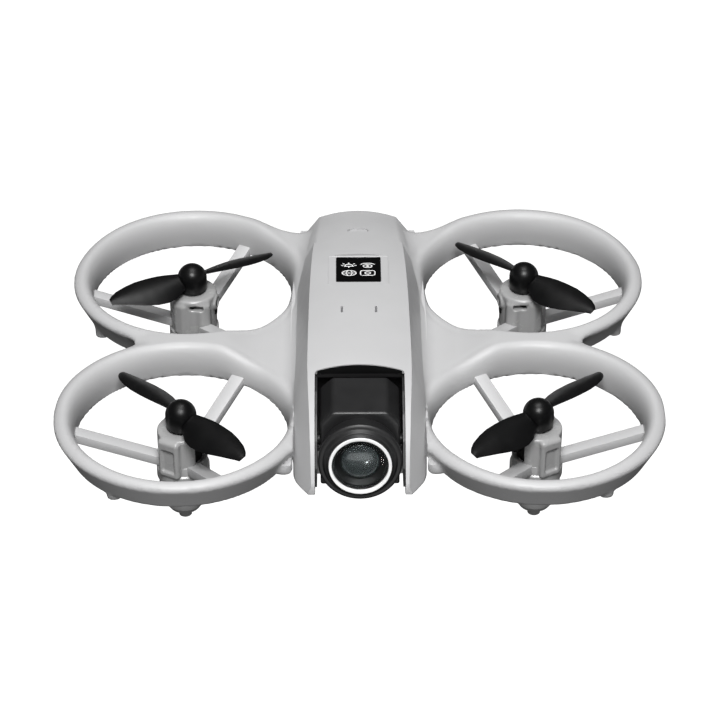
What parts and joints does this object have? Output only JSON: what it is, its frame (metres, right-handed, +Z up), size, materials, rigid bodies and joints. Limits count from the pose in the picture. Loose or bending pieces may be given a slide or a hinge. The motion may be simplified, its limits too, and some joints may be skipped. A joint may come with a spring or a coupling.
{
  "type": "palm drone",
  "caption": "Palm-size camera drone with ducted two-blade propellers, a tilting nose camera and a slide-out battery.",
  "frame": {"origin": "bottom centre of the bounding box, on the plane of the four pod nubs", "axes": "+X to the right of someone who faces the camera, -Y the way the camera looks, +Z up"},
  "size_m": [0.158, 0.13, 0.0455],
  "materials": {
    "shell_grey": "fine satin moulded plastic",
    "guard_grey": "fine satin moulded plastic",
    "clip_grey": "slightly glossy moulded plastic",
    "propeller_black": "satin black",
    "motor_black": "black coated metal",
    "camera_black": "satin black",
    "trim_white": "smooth white",
    "lens_glass": "clear coated glass",
    "lens_dark": "polished dark",
    "display_black": "polished black window",
    "steel": "bright steel",
    "board_green": "circuit board",
    "brass": "plated contact",
    "battery_grey": "fine matte plastic",
    "light_pipe": "frosted clear plastic"
  },
  "bodies": {
    "airframe": {"battery_contacts": "brass", "button_switch": "camera_black", "camera_liner": "camera_black", "charge_port": "steel", "display_board": "board_green", "display_window": "display_black", "flow_sensor_module": "camera_black", "flow_sensor_window": "lens_dark", "guard_ring_front_left": "guard_grey", "guard_ring_front_right": "guard_grey", "guard_ring_rear_left": "guard_grey", "guard_ring_rear_right": "guard_grey", "lower_chassis": "shell_grey", "main_board": "board_green", "motor_can_front_left": "motor_black", "motor_can_front_right": "motor_black", "motor_can_rear_left": "motor_black", "motor_can_rear_right": "motor_black", "motor_clip_front_left": "clip_grey", "motor_clip_front_right": "clip_grey", "motor_clip_rear_left": "clip_grey", "motor_clip_rear_right": "clip_grey", "pod_cup_front_left": "clip_grey", "pod_cup_front_right": "clip_grey", "pod_cup_rear_left": "clip_grey", "pod_cup_rear_right": "clip_grey", "radio_antenna": "brass", "shell_screws": "steel", "spider_front_left": "guard_grey", "spider_front_right": "guard_grey", "spider_rear_left": "guard_grey", "spider_rear_right": "guard_grey", "status_light_pipes": "light_pipe", "tilt_motor": "motor_black", "top_shell": "shell_grey", "trunnion_bushing": "camera_black"},
    "propeller_front_left": {"propeller_front_left": "propeller_black", "rotor_shaft_front_left": "steel"},
    "propeller_front_right": {"propeller_front_right": "propeller_black", "rotor_shaft_front_right": "steel"},
    "propeller_rear_left": {"propeller_rear_left": "propeller_black", "rotor_shaft_rear_left": "steel"},
    "propeller_rear_right": {"propeller_rear_right": "propeller_black", "rotor_shaft_rear_right": "steel"},
    "camera_head": {"camera_housing": "camera_black", "lens_barrel": "camera_black", "lens_ring": "trim_white", "lens_cover_glass": "lens_glass", "lens_stack": "lens_dark", "sensor_board": "board_green", "camera_trunnions": "steel"},
    "power_button": {"power_button": "shell_grey"},
    "battery": {"battery_pack": "battery_grey"},
    "battery_latch": {"battery_latch": "shell_grey"}
  },
  "joints": [
    {"name": "propeller_spin_front_left", "type": "hinge", "parent": "airframe", "child": "propeller_front_left", "pos_m": [-0.046, -0.032, 0.031], "axis": [0, 0, 1], "continuous": true},
    {"name": "propeller_spin_front_right", "type": "hinge", "parent": "airframe", "child": "propeller_front_right", "pos_m": [0.046, -0.032, 0.031], "axis": [0, 0, 1], "continuous": true},
    {"name": "propeller_spin_rear_left", "type": "hinge", "parent": "airframe", "child": "propeller_rear_left", "pos_m": [-0.046, 0.032, 0.031], "axis": [0, 0, 1], "continuous": true},
    {"name": "propeller_spin_rear_right", "type": "hinge", "parent": "airframe", "child": "propeller_rear_right", "pos_m": [0.046, 0.032, 0.031], "axis": [0, 0, 1], "continuous": true},
    {"name": "camera_tilt", "type": "hinge", "parent": "airframe", "child": "camera_head", "pos_m": [0, -0.0385, 0.0291], "axis": [-1, 0, 0], "range_deg": [-98, 20]},
    {"name": "power_button_press", "type": "slide", "parent": "airframe", "child": "power_button", "axis": [0, -0.1874, -0.9823], "range_m": [0, 0.0006], "stiffness_N_per_m": 400},
    {"name": "battery_slide", "type": "slide", "parent": "airframe", "child": "battery", "axis": [0, 1, 0], "range_m": [0, 0.066]},
    {"name": "battery_latch_press", "type": "slide", "parent": "battery", "child": "battery_latch", "axis": [0, 0, -1], "range_m": [0, 0.0009], "stiffness_N_per_m": 300}
  ]
}
